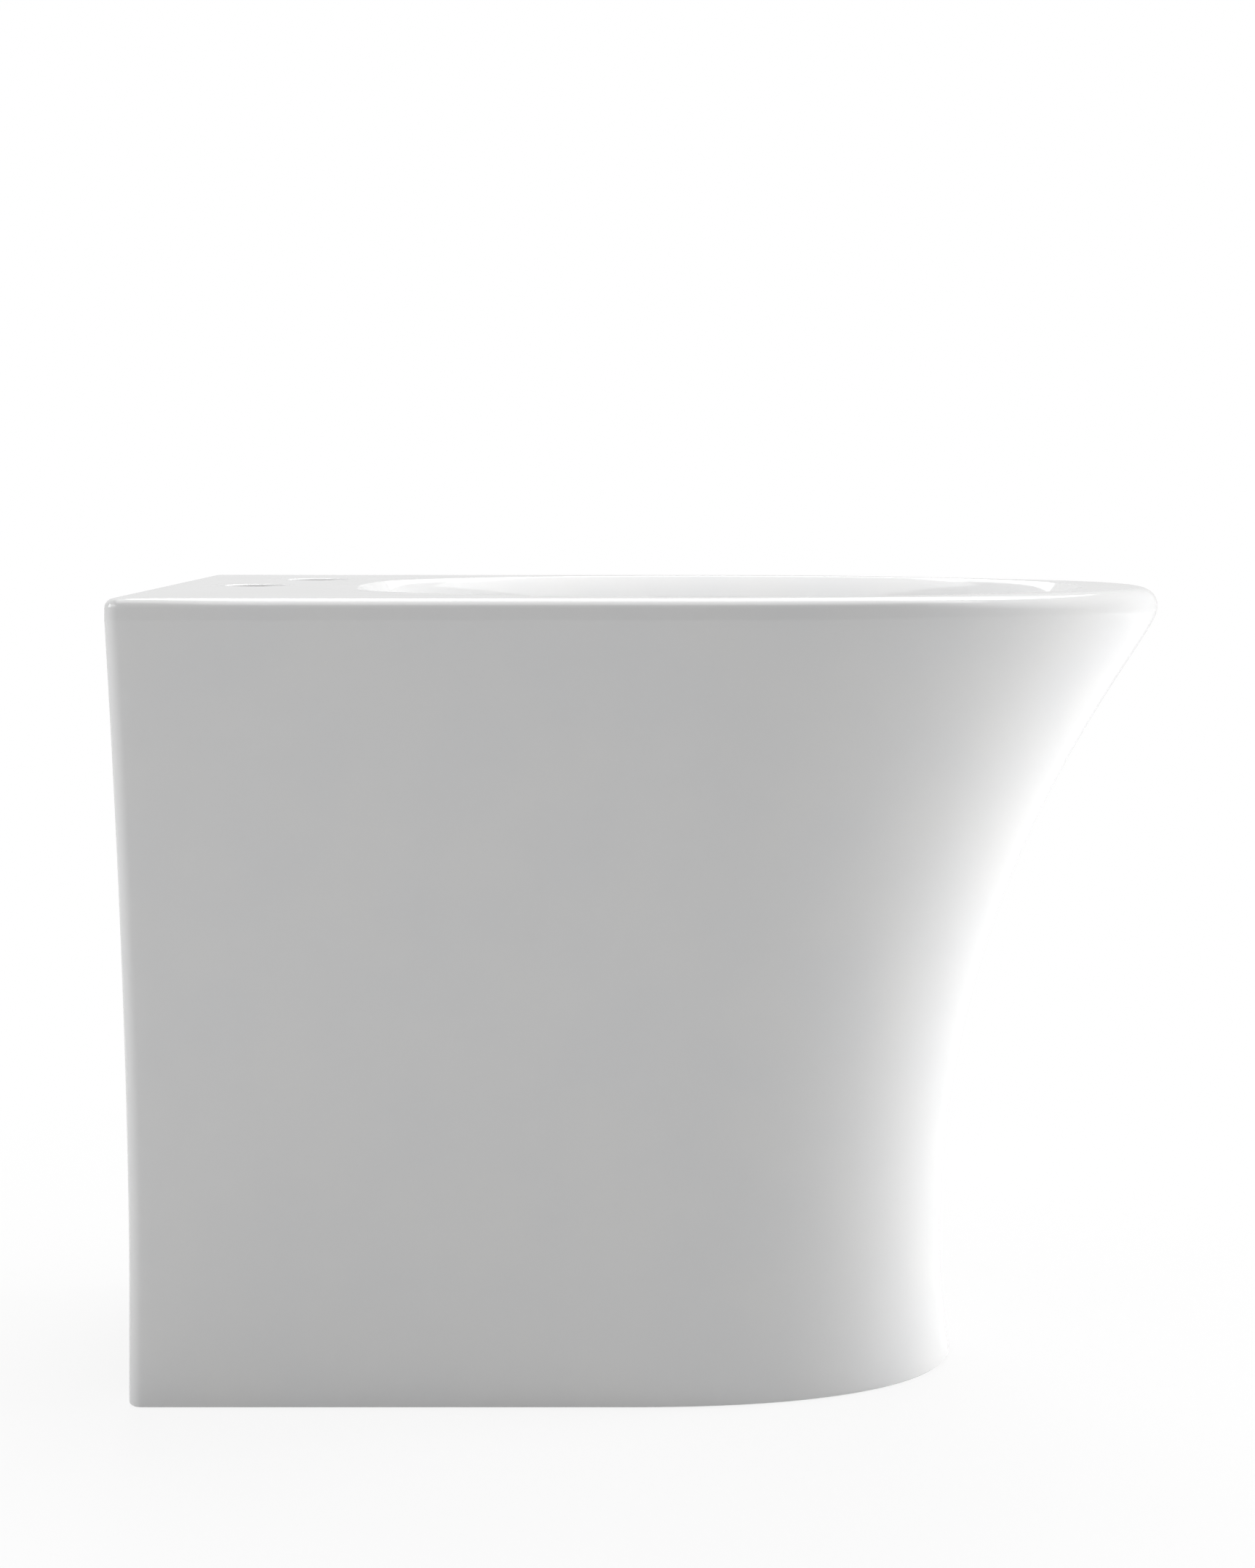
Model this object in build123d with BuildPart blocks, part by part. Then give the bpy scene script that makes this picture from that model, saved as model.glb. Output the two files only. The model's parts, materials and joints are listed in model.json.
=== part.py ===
from build123d import *
import os
from math import acos, asin, atan2, copysign, cos, degrees, radians, sin, sqrt

os.makedirs("parts", exist_ok=True)

# Frame: +X points away from the wall, +Y to the side, +Z up, the floor is z = 0
# The origin is under the middle of the body, so the wall face is at -body_length / 2

# Overall size of the ceramic body
body_length = 550.0
body_width = 360.0
body_height = 420.0

# Outer form: an upright lip, then sides and front that draw in towards the foot
lip_height = 10.5
lip_round = 5.0
flare_height = 350.0
side_tuck = 68.0
side_flare_power = 1.6
front_tuck = 119.5
front_flare_power = 2.12
front_flare_ease = 0.022
toe_height = 55.0
toe_reach = 5.3
straight_side_at_rim = 288.0
straight_side_at_foot = 258.0
nose_power_at_rim = 2.05
nose_power_at_foot = 2.3
back_corner_radius = 8.0
nose_steps = 7
body_levels = 14
body_level_spacing = 1.4

# Wall and deck of the casting
wall = 12.0
front_wall = 14.0
deck_thickness = 18.0
ground_off = 0.4

# Bowl opening and depth
back_rim = 110.0
side_rim = 31.5
front_rim = 50.0
bowl_widest_from_wall = 295.0
bowl_floor_height = 260.0
bowl_back_power = 3.2
bowl_front_power = 2.15
bowl_wall_power = 2.3
bowl_edge_round = 8.0
bowl_levels = 8
cut_margin = 10.0

# Holes in the deck
tap_hole_radius = 17.5
tap_hole_round = 2.5
tap_hole_from_wall = 52.0
side_hole_from_wall = 75.0
side_hole_offset = 95.0

# Waste seat, its boss and the overflow duct
waste_from_wall = 240.0
seat_radius = 33.5
seat_margin = 1.5
seat_depth = 4.0
boss_radius = 45.0
boss_length = 41.0
waste_hole_radius = 23.0
overflow_depth = 38.0
overflow_radius = 11.0
duct_behind_bowl = 20.0
duct_thickness = 10.0
duct_width = 26.0
duct_knee_above_slot = 62.0
duct_end_above_boss = 13.0
duct_wall = 9.0

# Open back and the ribs for the floor hooks
back_post = 24.0
back_opening_height = 310.0
back_opening_corner = 30.0
rib_from_wall = 85.0
rib_length = 60.0
rib_reach = 26.0
rib_bottom = 20.0
rib_height = 14.0

# Pipe thread shared by the waste tail, the trap's neck and its outlet
thread_radius = 20.9

# Clearances
running_gap = 0.1
seat_gap = 0.3
thread_gap = 0.1

# Waste: flange and tail with a cross web
flange_radius = 32.0
flange_thickness = 2.6
flange_edge_round = 0.4
flange_seal_thickness = 2.0
tail_bore = 18.0
tail_length = 90.0
throat_radius = 22.4
throat_length = 8.0
dish_radius = 26.0
dish_depth = 4.0
slot_width = 8.0
slot_height = 12.0
slot_count = 4
web_thickness = 4.0
web_arm = 5.0
web_hub_radius = 7.0
web_below_slot = 13.0

# Overflow trim
overflow_ring_radius = 15.0
overflow_ring_thickness = 1.8
overflow_sleeve_radius = 10.8
overflow_sleeve_wall = 1.0
overflow_sleeve_length = 8.0

# Washers and nut under the boss
cone_radius = 29.0
cone_thickness = 6.0
cone_nose = 4.0
cone_tip = 0.6
slip_thickness = 1.5
backnut_flats = 58.0
backnut_height = 8.0
backnut_chamfer = 0.8

# Push-open latch and plug
plug_travel = 9.0
cap_radius = 30.0
cap_rim = 1.4
cap_rise = 3.8
cap_lift = 1.4
seal_radius = 25.0
seal_low_radius = 20.0
seal_gap_to_dish = 0.4
cap_boss_radius = 8.9
cap_boss_below = 0.5
stem_radius = 4.5
collar_radius = 7.3
collar_height = 3.0
cartridge_bore = 7.6
cartridge_radius = 9.5
cartridge_floor = 3.0
cartridge_roof = 2.0
stud_radius = 3.9
stud_length = 8.0
spring_height = 12.0
spring_radius = 5.8
spring_wire = 1.0
spring_turns = 5

# Trap
tube_radius = 16.0
tube_wall = 1.6
tube_flange = 2.5
joint_washer = 3.0
taper_washer = 5.0
inlet_nut_height = 22.0
nut_lip = 2.3
pipe_nut_radius = 26.0
pipe_nut_height = 19.0
grip_count = 12
grip_radius = 2.2
gap_between_nuts = 2.0
neck_height = 14.0
trap_radius = 29.0
trap_wall = 2.5
shoulder_thickness = 3.0
outlet_below_shoulder = 24.9
outlet_reach = 24.0
pipe_insertion = 10.0
water_seal = 48.0
cup_floor = 20.0
cup_thickness = 3.0
cup_wall = 4.0
cup_overlap = 16.0
cup_seal_height = 3.0
cup_pocket = 14.0
cup_round = 3.0
shoulder_round = 2.5
tube_play = 0.35
rosette_radius = 36.0
rosette_collar = 3.0
rosette_rise = 11.0
rosette_sheet = 1.6

# Floor hooks
hook_steel = 4.0
hook_bend = 5.0
hook_width = 24.0
hook_foot = 58.0
hook_grip = 34.0
pad_thickness = 2.0
hook_hole_radius = 4.5

# Places that follow from the sizes above
wall_x = -body_length / 2
front_x = body_length / 2
waste_x = wall_x + waste_from_wall
bowl_middle_x = wall_x + bowl_widest_from_wall
hollow_roof_z = body_height - deck_thickness
bowl_depth = body_height - bowl_floor_height
seat_z = bowl_floor_height - seat_depth
boss_z = seat_z - boss_length
bowl_half_width = body_width / 2 - side_rim
bowl_back_reach = bowl_middle_x - wall_x - back_rim
bowl_front_reach = front_x - front_rim - bowl_middle_x
drain_radius = seat_radius + seat_margin
drain = Plane(origin=(waste_x, 0, 0))


def flare(depth, power, ease):
    """Share of the tuck that is reached at a depth below the lip."""
    share = min(max(depth / flare_height, 0.0), 1.0)
    eased = (sqrt(share * share + ease * ease) - ease) / (sqrt(1 + ease * ease) - ease)
    return 1 - (1 - eased) ** power


def nose_points(start_x, reach, half_width, power):
    """Points of half a superellipse, from -Y round its tip to +Y."""
    points = []
    for step in range(-nose_steps, nose_steps + 1):
        angle = radians(90 * step / nose_steps)
        ahead = reach * abs(cos(angle)) ** (2 / power)
        across = copysign(half_width * abs(sin(angle)) ** (2 / power), angle)
        points.append((start_x + ahead, across))
    return points


def body_plan(z, inset, front_inset, back_inset):
    """Plan of the body at height z, drawn in from its outer face by the insets."""
    below_lip = body_height - lip_height - z
    drawn = flare(below_lip, side_flare_power, 0.0)
    toe = max(toe_height - z, 0.0) / toe_height
    half_width = body_width / 2 - side_tuck * drawn - inset
    tip_x = front_x - front_tuck * flare(below_lip, front_flare_power, front_flare_ease)
    tip_x += toe_reach * toe * toe - front_inset
    straight_end = straight_side_at_rim + (straight_side_at_foot - straight_side_at_rim) * drawn
    start_x = wall_x + straight_end
    power = nose_power_at_rim + (nose_power_at_foot - nose_power_at_rim) * drawn
    back_x = wall_x + back_inset
    corner_x = back_x + back_corner_radius
    corner_y = half_width - back_corner_radius
    nose = nose_points(start_x, tip_x - start_x, half_width, power)
    with BuildSketch() as plan:
        with BuildLine():
            Spline(*nose, tangents=((1, 0), (-1, 0)))
            Line((start_x, half_width), (corner_x, half_width))
            CenterArc((corner_x, corner_y), back_corner_radius, 90, 90)
            Line((back_x, corner_y), (back_x, -corner_y))
            CenterArc((corner_x, -corner_y), back_corner_radius, 180, 90)
            Line((corner_x, -half_width), (start_x, -half_width))
        make_face()
    return plan.sketch


def bowl_level(angle, offset):
    """Depth, share of the rim's width and end radius of the bowl's wall at an angle."""
    end_radius = drain_radius + offset
    end_share = end_radius / (bowl_half_width + offset)
    end_angle = acos(end_share)
    deep = (bowl_depth + offset) * (sin(angle) / sin(end_angle)) ** (2 / bowl_wall_power)
    return deep, cos(angle), end_share


def bowl_extent(angle, offset):
    """Middle, half width, reach to the back and to the front of the bowl at an angle."""
    deep, share, end_share = bowl_level(angle, offset)
    widening = (share - end_share) / (1 - end_share)
    middle_x = waste_x + (bowl_middle_x - waste_x) * widening
    half_width = (bowl_half_width + offset) * share
    back = half_width + (bowl_back_reach - bowl_half_width) * widening
    front = half_width + (bowl_front_reach - bowl_half_width) * widening
    return deep, middle_x, half_width, back, front, widening


def bowl_plan(angle, offset):
    """Plan of the bowl's wall at an angle, moved outwards by an offset."""
    deep, middle_x, half_width, back, front, widening = bowl_extent(angle, offset)
    back_power = 2 + (bowl_back_power - 2) * widening
    front_power = 2 + (bowl_front_power - 2) * widening
    ahead = nose_points(middle_x, front, half_width, front_power)
    behind = nose_points(middle_x, -back, half_width, back_power)
    with BuildSketch() as plan:
        with BuildLine():
            Spline(*ahead, *behind[-2:0:-1], periodic=True)
        make_face()
    return plan.sketch


def bowl_angles(offset):
    """Angles of the bowl's levels, from the rim down to the waste seat."""
    end_angle = acos((drain_radius + offset) / (bowl_half_width + offset))
    return [end_angle * level / bowl_levels for level in range(bowl_levels + 1)]


# Ceramic body: levels lie closer together near the lip, where the form turns fastest
body_depths = [0.0, lip_height / 2, lip_height]
for level in range(1, body_levels + 1):
    share = (level / body_levels) ** body_level_spacing
    body_depths.append(lip_height + (body_height - lip_height) * share)

with BuildPart() as outer_form:
    for depth in reversed(body_depths):
        with BuildSketch(Plane.XY.offset(body_height - depth)):
            add(body_plan(body_height - depth, 0, 0, -ground_off))
    loft()
    top_edges = outer_form.faces().sort_by(Axis.Z)[-1].edges()
    fillet(top_edges, radius=lip_round)
    # The back is ground flat after firing, so that it stands close against the wall
    split(bisect_by=Plane.YZ.offset(wall_x), keep=Keep.TOP)

with BuildPart() as bowl_space:
    with BuildSketch(Plane.XY.offset(body_height + cut_margin)):
        add(bowl_plan(0.0, 0.0))
    for angle in bowl_angles(0.0):
        with BuildSketch(Plane.XY.offset(body_height - bowl_level(angle, 0.0)[0])):
            add(bowl_plan(angle, 0.0))
    loft()

with BuildPart() as bowl_shell:
    with BuildSketch(Plane.XY.offset(body_height + cut_margin)):
        add(bowl_plan(0.0, wall))
    for angle in bowl_angles(wall):
        with BuildSketch(Plane.XY.offset(body_height - bowl_level(angle, wall)[0])):
            add(bowl_plan(angle, wall))
    loft()


# Overflow: the hole stands square to the bowl's back wall, at its own depth
def back_wall_x(depth):
    """Where the bowl's back wall lies on the centre line at a depth."""
    end_angle = acos(drain_radius / bowl_half_width)
    angle = asin(sin(end_angle) * (depth / bowl_depth) ** (bowl_wall_power / 2))
    deep, middle_x, half_width, back, front, widening = bowl_extent(angle, 0.0)
    return middle_x - back


overflow_z = body_height - overflow_depth
overflow_x = back_wall_x(overflow_depth)
overflow_slope = atan2(back_wall_x(overflow_depth + 1) - back_wall_x(overflow_depth - 1), 2)
overflow_face = Plane(
    origin=(overflow_x, 0, overflow_z),
    x_dir=(0, 1, 0),
    z_dir=(cos(overflow_slope), 0, sin(overflow_slope)),
)


def stand_off(depth):
    """How far the curved back wall comes out of the overflow's plane at a depth."""
    ahead = (back_wall_x(depth) - overflow_x) * cos(overflow_slope)
    return ahead + (overflow_depth - depth) * sin(overflow_slope)


ring_lift = seat_gap + max(
    stand_off(overflow_depth - overflow_ring_radius), stand_off(overflow_depth + overflow_ring_radius)
)
duct_x = wall_x + back_rim - duct_behind_bowl
slot_z = boss_z + duct_end_above_boss
duct_knee_z = slot_z + duct_knee_above_slot
duct_top_z = overflow_z + overflow_radius + 1

with BuildPart() as duct_ridge:
    with BuildSketch(Plane.XZ):
        with BuildLine():
            Polyline((duct_x, hollow_roof_z + cut_margin), (duct_x, duct_knee_z), (waste_x, slot_z))
        trace(line_width=duct_thickness + 2 * duct_wall)
    extrude(amount=duct_width / 2 + duct_wall, both=True)

with BuildPart() as duct_space:
    with BuildSketch(Plane.XZ):
        with BuildLine():
            Polyline((duct_x, duct_top_z), (duct_x, duct_knee_z), (waste_x, slot_z))
        trace(line_width=duct_thickness)
    extrude(amount=duct_width / 2, both=True)

# Hollow of the casting: inside the walls, round the bowl's shell, the boss and the duct
hollow_levels = [-cut_margin, 0.0]
for depth in reversed(body_depths):
    if 0 < body_height - depth < hollow_roof_z:
        hollow_levels.append(body_height - depth)
hollow_levels.append(hollow_roof_z)

with BuildPart() as hollow:
    for z in hollow_levels:
        with BuildSketch(Plane.XY.offset(z)):
            add(body_plan(z, wall, front_wall, wall))
    loft()
    add(bowl_shell.part, mode=Mode.SUBTRACT)
    add(duct_ridge.part, mode=Mode.SUBTRACT)
    with BuildSketch(Plane.XY.offset(boss_z)):
        with Locations((waste_x, 0)):
            Circle(boss_radius)
    extrude(amount=bowl_floor_height - boss_z, mode=Mode.SUBTRACT)

back_opening_plane = Plane(origin=(wall_x, 0, 0), x_dir=(0, 1, 0), z_dir=(1, 0, 0))
tap_hole_place = (wall_x + tap_hole_from_wall, 0)
side_hole_place = (wall_x + side_hole_from_wall, side_hole_offset)
rib_x = wall_x + rib_from_wall
foot_outer_y = body_width / 2 - side_tuck
foot_inner_y = foot_outer_y - wall
back_opening_width = 2 * (foot_outer_y - back_post)
rib_tip_y = foot_inner_y - rib_reach
rib_y = rib_tip_y + (rib_reach + wall / 2) / 2

with BuildPart() as ceramic_body:
    add(outer_form.part)
    add(hollow.part, mode=Mode.SUBTRACT)
    add(bowl_space.part, mode=Mode.SUBTRACT)
    # Soft edge where the deck and the rim turn down into the bowl
    top_face = ceramic_body.faces().filter_by(Plane.XY).sort_by(Axis.Z)[-1]
    fillet(top_face.inner_wires()[0].edges(), radius=bowl_edge_round)
    # Seat for the waste flange, then the hole through the boss
    with BuildSketch(drain.offset(seat_z)):
        Circle(seat_radius)
    extrude(amount=seat_depth + seat_margin, mode=Mode.SUBTRACT)
    with BuildSketch(drain.offset(boss_z)):
        Circle(waste_hole_radius)
    extrude(amount=boss_length, mode=Mode.SUBTRACT)
    # Overflow hole and the duct that leads from it to the waste
    with BuildSketch(overflow_face.offset(-duct_behind_bowl)):
        Circle(overflow_radius)
    extrude(amount=duct_behind_bowl + cut_margin, mode=Mode.SUBTRACT)
    add(duct_space.part, mode=Mode.SUBTRACT)
    # Two holes in the deck, with softened edges
    with BuildSketch(Plane.XY.offset(body_height)):
        with Locations(tap_hole_place, side_hole_place):
            Circle(tap_hole_radius)
    extrude(amount=-deck_thickness, mode=Mode.SUBTRACT)
    deck_rings = ceramic_body.edges().filter_by(GeomType.CIRCLE).group_by(Axis.Z)[-1]
    fillet(deck_rings.filter_by(lambda ring: ring.radius > tap_hole_radius - 1), radius=tap_hole_round)
    # Open back for the pipes
    with BuildSketch(back_opening_plane) as back_opening:
        with Locations((0, back_opening_height / 2)):
            Rectangle(back_opening_width, back_opening_height)
        fillet(back_opening.vertices().group_by(Axis.Z)[-1], radius=back_opening_corner)
    extrude(amount=wall, mode=Mode.SUBTRACT)
    # A rib inside each side wall, which the floor hooks hold down
    with BuildSketch(Plane.XY.offset(rib_bottom)):
        with Locations((rib_x + rib_length / 2, rib_y), (rib_x + rib_length / 2, -rib_y)):
            Rectangle(rib_length, rib_reach + wall / 2)
    extrude(amount=rib_height)

ceramic_body.part.label = "ceramic_body"
export_step(ceramic_body.part, "parts/ceramic_body.step")

# Overflow trim: a flat ring on the bowl's back wall with a short sleeve in the hole
with BuildPart() as overflow_ring:
    with BuildSketch(overflow_face.offset(ring_lift)):
        Circle(overflow_ring_radius)
        Circle(overflow_sleeve_radius - overflow_sleeve_wall, mode=Mode.SUBTRACT)
    extrude(amount=overflow_ring_thickness)
    ring_rims = overflow_ring.edges().filter_by(GeomType.CIRCLE)
    outer_rims = ring_rims.filter_by(lambda rim: rim.radius > overflow_sleeve_radius)
    fillet(outer_rims.sort_by(Axis.X)[-1], radius=overflow_ring_thickness / 2)
    with BuildSketch(overflow_face.offset(-overflow_sleeve_length)):
        Circle(overflow_sleeve_radius)
        Circle(overflow_sleeve_radius - overflow_sleeve_wall, mode=Mode.SUBTRACT)
    extrude(amount=overflow_sleeve_length + ring_lift + overflow_ring_thickness / 2)
overflow_ring.part.label = "overflow_ring"
export_step(overflow_ring.part, "parts/overflow_ring.step")


def tube(plane, inner, outer, height):
    """Washer or straight tube that stands on a plane."""
    with BuildPart() as solid:
        with BuildSketch(plane):
            Circle(outer)
            Circle(inner, mode=Mode.SUBTRACT)
        extrude(amount=height)
    return solid.part


def grip(plane, inner, outer, height):
    """Tube with round ribs along its outside, for a hand to turn."""
    with BuildPart() as solid:
        with BuildSketch(plane):
            Circle(outer)
            with PolarLocations(outer, grip_count):
                Circle(grip_radius)
            Circle(inner, mode=Mode.SUBTRACT)
        extrude(amount=height)
    return solid.part


def pipe_nut(lip_plane, height):
    """Nut for a pipe joint: its lip lies on the plane and its thread opens along it."""
    with BuildPart() as solid:
        add(grip(lip_plane, joint_bore, pipe_nut_radius, nut_lip))
        add(grip(lip_plane.offset(nut_lip), thread_radius + thread_gap, pipe_nut_radius, height - nut_lip))
    return solid.part


# Heights of the waste, from the flange down
flange_z = seat_z + flange_seal_thickness
flange_top_z = flange_z + flange_thickness
tail_end_z = flange_z - tail_length
web_top_z = slot_z - slot_height / 2 - web_below_slot
section_plane = Plane(origin=(waste_x, 0, 0), x_dir=(1, 0, 0), z_dir=(0, -1, 0))
waste_axis = Axis((waste_x, 0, 0), (0, 0, 1))

with BuildPart() as flange_seal:
    add(tube(drain.offset(seat_z), waste_hole_radius + seat_gap, flange_radius, flange_seal_thickness))
flange_seal.part.label = "flange_seal"
export_step(flange_seal.part, "parts/flange_seal.step")

with BuildPart() as waste_body:
    with BuildSketch(section_plane):
        with BuildLine():
            Polyline(
                (tail_bore, tail_end_z),
                (thread_radius, tail_end_z),
                (thread_radius, flange_z - throat_length),
                (throat_radius, flange_z - throat_length),
                (throat_radius, flange_z),
                (flange_radius, flange_z),
                (flange_radius, flange_top_z),
                (dish_radius, flange_top_z),
                (tail_bore, flange_top_z - dish_depth),
                close=True,
            )
        make_face()
    revolve(axis=waste_axis)
    fillet(waste_body.edges().filter_by(GeomType.CIRCLE).sort_by(Axis.Z)[-1], radius=flange_edge_round)
    # Slots that let the overflow water in
    with BuildSketch(drain.offset(slot_z - slot_height / 2)):
        with PolarLocations(thread_radius, slot_count):
            Rectangle(2 * (thread_radius - tail_bore) + 2, slot_width)
    extrude(amount=slot_height, mode=Mode.SUBTRACT)
    # Cross web with a hub that the latch screws into
    with BuildSketch(drain.offset(web_top_z - web_thickness)):
        Rectangle(2 * tail_bore + 1, web_arm)
        Rectangle(web_arm, 2 * tail_bore + 1)
        Circle(web_hub_radius)
        Circle(stud_radius + thread_gap, mode=Mode.SUBTRACT)
    extrude(amount=web_thickness)
waste_body.part.label = "waste_body"
export_step(waste_body.part, "parts/waste_body.step")

# Below the boss: tapered rubber washer, slip washer and nut
with BuildPart() as cone_washer:
    with BuildSketch(section_plane):
        with BuildLine():
            Polyline(
                (thread_radius + thread_gap, boss_z - cone_thickness),
                (cone_radius, boss_z - cone_thickness),
                (cone_radius, boss_z),
                (waste_hole_radius - seat_gap, boss_z),
                (thread_radius + cone_tip, boss_z + cone_nose),
                (thread_radius + thread_gap, boss_z + cone_nose),
                close=True,
            )
        make_face()
    revolve(axis=waste_axis)
cone_washer.part.label = "cone_washer"
export_step(cone_washer.part, "parts/cone_washer.step")

slip_z = boss_z - cone_thickness - slip_thickness
with BuildPart() as slip_washer:
    add(tube(drain.offset(slip_z), thread_radius + thread_gap, cone_radius, slip_thickness))
slip_washer.part.label = "slip_washer"
export_step(slip_washer.part, "parts/slip_washer.step")

with BuildPart() as waste_backnut:
    with BuildSketch(drain.offset(slip_z - backnut_height)):
        RegularPolygon(backnut_flats / 2, 6, major_radius=False)
        Circle(thread_radius + thread_gap, mode=Mode.SUBTRACT)
    extrude(amount=backnut_height)
    nut_ends = waste_backnut.faces().filter_by(Plane.XY)
    chamfer(nut_ends.edges().filter_by(GeomType.LINE), length=backnut_chamfer)
waste_backnut.part.label = "waste_backnut"
export_step(waste_backnut.part, "parts/waste_backnut.step")

# Push-open latch: the plug is drawn in its low place, latched shut
spring_z = web_top_z + cartridge_floor
collar_z = spring_z + spring_height
roof_z = collar_z + collar_height + plug_travel + seat_gap
cap_z = flange_top_z + cap_lift

with BuildPart() as click_cartridge:
    with BuildSketch(section_plane):
        with BuildLine():
            Polyline(
                (0, web_top_z - stud_length),
                (stud_radius, web_top_z - stud_length),
                (stud_radius, web_top_z),
                (cartridge_radius, web_top_z),
                (cartridge_radius, roof_z + cartridge_roof),
                (stem_radius + running_gap, roof_z + cartridge_roof),
                (stem_radius + running_gap, roof_z),
                (cartridge_bore, roof_z),
                (cartridge_bore, spring_z),
                (0, spring_z),
                close=True,
            )
        make_face()
    revolve(axis=waste_axis)
click_cartridge.part.label = "click_cartridge"
export_step(click_cartridge.part, "parts/click_cartridge.step")

spring_pitch = (spring_height - spring_wire - 2 * running_gap) / spring_turns
spring_start = (waste_x, 0, spring_z + spring_wire / 2 + running_gap)
with BuildPart() as click_spring:
    with BuildLine() as coil:
        Helix(spring_pitch, spring_pitch * spring_turns, spring_radius, center=spring_start)
    with BuildSketch(Plane(origin=coil.line @ 0, z_dir=coil.line % 0)):
        Circle(spring_wire / 2)
    sweep(path=coil.line, is_frenet=True)
click_spring.part.label = "click_spring"
export_step(click_spring.part, "parts/click_spring.step")

with BuildPart() as plug_stem:
    with BuildSketch(section_plane):
        with BuildLine():
            Polyline(
                (0, collar_z),
                (collar_radius, collar_z),
                (collar_radius, collar_z + collar_height),
                (stem_radius, collar_z + collar_height),
                (stem_radius, cap_z),
                (0, cap_z),
                close=True,
            )
        make_face()
    revolve(axis=waste_axis)
plug_stem.part.label = "plug_stem"
export_step(plug_stem.part, "parts/plug_stem.step")

# The rubber plug follows the dish of the flange with a small gap, and sits round the cap's boss
dish_slope = dish_depth / (dish_radius - tail_bore)
dish_gap = seal_gap_to_dish * sqrt(1 + dish_slope * dish_slope)
seal_edge_z = flange_top_z - (dish_radius - seal_radius) * dish_slope + dish_gap
seal_low_z = flange_top_z - (dish_radius - seal_low_radius) * dish_slope + dish_gap
with BuildPart() as plug_seal:
    with BuildSketch(section_plane):
        with BuildLine():
            Polyline(
                (cap_boss_radius + running_gap, seal_low_z),
                (seal_low_radius, seal_low_z),
                (seal_radius, seal_edge_z),
                (seal_radius, cap_z),
                (cap_boss_radius + running_gap, cap_z),
                close=True,
            )
        make_face()
    revolve(axis=waste_axis)
plug_seal.part.label = "plug_seal"
export_step(plug_seal.part, "parts/plug_seal.step")

with BuildPart() as plug_cap:
    with BuildSketch(section_plane):
        with BuildLine():
            dome = TangentArc((0, cap_z + cap_rim + cap_rise), (cap_radius, cap_z + cap_rim), tangent=(1, 0))
            Polyline(
                dome @ 1,
                (cap_radius, cap_z),
                (cap_boss_radius, cap_z),
                (cap_boss_radius, seal_low_z - cap_boss_below),
                (stem_radius + thread_gap, seal_low_z - cap_boss_below),
                (stem_radius + thread_gap, cap_z),
                (0, cap_z),
                dome @ 0,
            )
        make_face()
    revolve(axis=waste_axis)
plug_cap.part.label = "plug_cap"
export_step(plug_cap.part, "parts/plug_cap.step")

# Trap: heights follow down from the waste tail, and up from the floor for the cup
tube_flange_z = tail_end_z - joint_washer - tube_flange
inlet_nut_z = tube_flange_z - nut_lip
neck_nut_top_z = inlet_nut_z - gap_between_nuts
neck_top_z = neck_nut_top_z - nut_lip - taper_washer
shoulder_z = neck_top_z - neck_height
outlet_height = shoulder_z - outlet_below_shoulder
tube_bore = tube_radius - tube_wall
joint_bore = tube_radius + tube_play
joint_edge = thread_radius - tube_play
tube_end_z = outlet_height - joint_bore - water_seal
cup_step_z = cup_floor + cup_thickness + cup_pocket
trap_end_z = cup_step_z + cup_seal_height
cup_bore = trap_radius + thread_gap

with BuildPart() as inlet_washer:
    add(tube(drain.offset(tail_end_z - joint_washer), tube_bore, joint_edge, joint_washer))
inlet_washer.part.label = "inlet_washer"
export_step(inlet_washer.part, "parts/inlet_washer.step")

with BuildPart() as dip_tube:
    add(tube(drain.offset(tube_end_z), tube_bore, tube_radius, tube_flange_z - tube_end_z))
    add(tube(drain.offset(tube_flange_z), tube_bore, joint_edge, tube_flange))
dip_tube.part.label = "dip_tube"
export_step(dip_tube.part, "parts/dip_tube.step")

with BuildPart() as inlet_nut:
    add(pipe_nut(drain.offset(inlet_nut_z), inlet_nut_height))
inlet_nut.part.label = "inlet_nut"
export_step(inlet_nut.part, "parts/inlet_nut.step")

with BuildPart() as neck_nut:
    add(pipe_nut(Plane(origin=(waste_x, 0, neck_nut_top_z), z_dir=(0, 0, -1)), pipe_nut_height))
neck_nut.part.label = "neck_nut"
export_step(neck_nut.part, "parts/neck_nut.step")

with BuildPart() as neck_washer:
    add(tube(drain.offset(neck_top_z), tube_radius + running_gap, joint_edge, taper_washer))
neck_washer.part.label = "neck_washer"
export_step(neck_washer.part, "parts/neck_washer.step")

# Trap body: closed bottle with a neck on top and a spigot towards the wall
spigot = trap_radius + outlet_reach
spigot_x = waste_x - spigot
outlet_plane = Plane(origin=(waste_x, 0, outlet_height), x_dir=(0, 1, 0), z_dir=(-1, 0, 0))
with BuildPart() as trap_body:
    with BuildSketch(drain.offset(trap_end_z)):
        Circle(trap_radius)
    extrude(amount=shoulder_z - trap_end_z)
    shoulder = trap_body.faces().sort_by(Axis.Z)[-1]
    fillet(shoulder.edges(), radius=shoulder_round)
    with BuildSketch(drain.offset(shoulder_z)):
        Circle(thread_radius)
    extrude(amount=neck_height)
    with BuildSketch(outlet_plane):
        Circle(thread_radius)
    extrude(amount=spigot)
    with BuildSketch(drain.offset(trap_end_z)):
        Circle(trap_radius - trap_wall)
    extrude(amount=shoulder_z - shoulder_thickness - trap_end_z, mode=Mode.SUBTRACT)
    with BuildSketch(drain.offset(shoulder_z - shoulder_thickness)):
        Circle(joint_bore)
    extrude(amount=shoulder_thickness + neck_height, mode=Mode.SUBTRACT)
    with BuildSketch(outlet_plane):
        Circle(joint_bore)
    extrude(amount=spigot, mode=Mode.SUBTRACT)
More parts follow.
